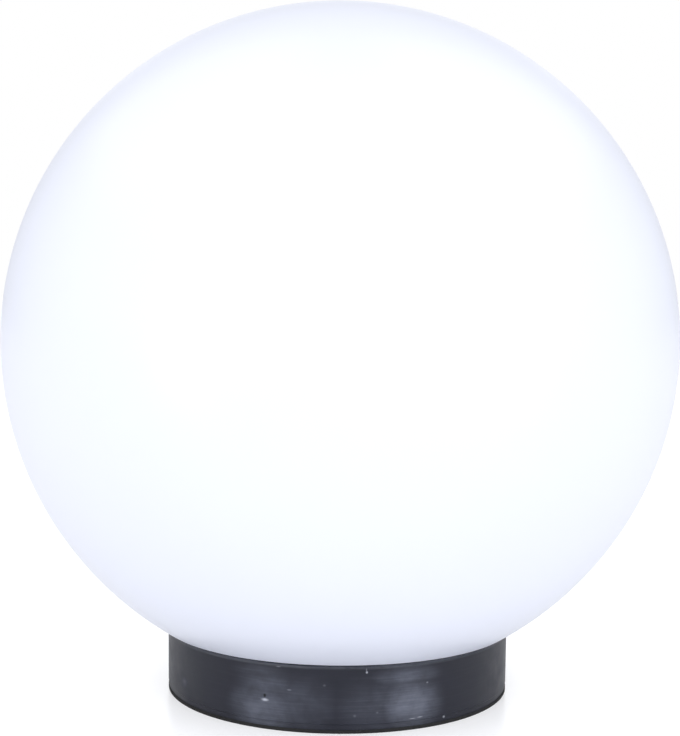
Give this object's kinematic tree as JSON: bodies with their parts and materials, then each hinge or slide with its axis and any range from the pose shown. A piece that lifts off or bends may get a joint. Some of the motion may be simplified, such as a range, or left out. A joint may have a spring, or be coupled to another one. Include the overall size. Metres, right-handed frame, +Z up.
{
  "type": "garden globe light",
  "caption": "Opal ball on a low black collar: bayonet globe over a screw-in bulb, with a lampholder, terminal block and slotted floor inside.",
  "frame": {"origin": "centre of the light's footprint, at the underside of the foot gasket", "axes": "+Z up along the light's axis; +X through one mounting slot, and the cable entry lies between the -X and -Y sides"},
  "size_m": [0.25, 0.2498, 0.2553],
  "materials": {
    "base_housing": "black moulded plastic, satin",
    "base_gasket": "black closed-cell foam",
    "cable_grommet": "black rubber",
    "lampholder_bracket": "zinc plated steel",
    "bracket_screws": "zinc plated steel",
    "earth_eyelet": "tinned brass",
    "earth_screw": "bright brass",
    "holder_nipple": "zinc plated steel",
    "nipple_nut": "zinc plated steel",
    "nipple_washer": "zinc plated steel",
    "holder_cap": "black thermoset plastic",
    "holder_insert": "brown phenolic",
    "holder_shell": "nickel plated brass",
    "holder_skirt": "black thermoset plastic",
    "centre_contact": "phosphor bronze",
    "side_contact": "phosphor bronze",
    "holder_terminal_screws": "brass",
    "terminal_block": "natural nylon",
    "terminal_tubes": "brass",
    "terminal_screws": "zinc plated steel",
    "terminal_fixing_screw": "zinc plated steel",
    "wire_line": "brown insulation",
    "wire_neutral": "blue insulation",
    "wire_earth": "green and yellow insulation",
    "globe_seal": "black silicone",
    "globe": "opal white plastic, smooth",
    "bulb_cap": "plated screw cap",
    "bulb_insulator": "black glass-like insulator",
    "bulb_contact": "solder-bright tip",
    "bulb_housing": "white plastic",
    "bulb_dome": "frosted white diffuser",
    "led_board": "aluminium core board, white face",
    "led_chips": "yellow phosphor",
    "driver_board": "green circuit board",
    "driver_capacitor": "sleeved can"
  },
  "bodies": {
    "base": {"base_housing": "base_housing", "base_gasket": "base_gasket", "cable_grommet": "cable_grommet", "lampholder_bracket": "lampholder_bracket", "bracket_screws": "bracket_screws", "earth_eyelet": "earth_eyelet", "earth_screw": "earth_screw", "holder_nipple": "holder_nipple", "nipple_nut": "nipple_nut", "nipple_washer": "nipple_washer", "holder_cap": "holder_cap", "holder_insert": "holder_insert", "holder_shell": "holder_shell", "holder_skirt": "holder_skirt", "centre_contact": "centre_contact", "side_contact": "side_contact", "holder_terminal_screws": "holder_terminal_screws", "terminal_block": "terminal_block", "terminal_tubes": "terminal_tubes", "terminal_screws": "terminal_screws", "terminal_fixing_screw": "terminal_fixing_screw", "wire_line": "wire_line", "wire_neutral": "wire_neutral", "wire_earth": "wire_earth"},
    "seal": {"globe_seal": "globe_seal"},
    "globe": {"globe": "globe"},
    "bulb_cap": {"bulb_cap": "bulb_cap", "bulb_insulator": "bulb_insulator", "bulb_contact": "bulb_contact"},
    "bulb": {"bulb_housing": "bulb_housing", "bulb_dome": "bulb_dome", "led_board": "led_board", "led_chips": "led_chips", "driver_board": "driver_board", "driver_capacitor": "driver_capacitor"}
  },
  "joints": [
    {"name": "globe_twist", "type": "hinge", "parent": "base", "child": "seal", "pos_m": [0, 0, 0.0239], "axis": [0, 0, 1], "range_deg": [-35, 0]},
    {"name": "globe_lift", "type": "slide", "parent": "seal", "child": "globe", "axis": [0, 0, 1], "range_m": [0, 0.15]},
    {"name": "bulb_rise", "type": "slide", "parent": "base", "child": "bulb_cap", "axis": [0, 0, 1], "range_m": [0, 0.02187]},
    {"name": "bulb_turn", "type": "hinge", "parent": "bulb_cap", "child": "bulb", "pos_m": [0, 0, 0.07], "axis": [0, 0, 1], "range_deg": [0, 2160]}
  ],
  "couplings": [
    {"joint": "bulb_rise", "follows": "bulb_turn", "m_per_rad": 0.00057757}
  ]
}
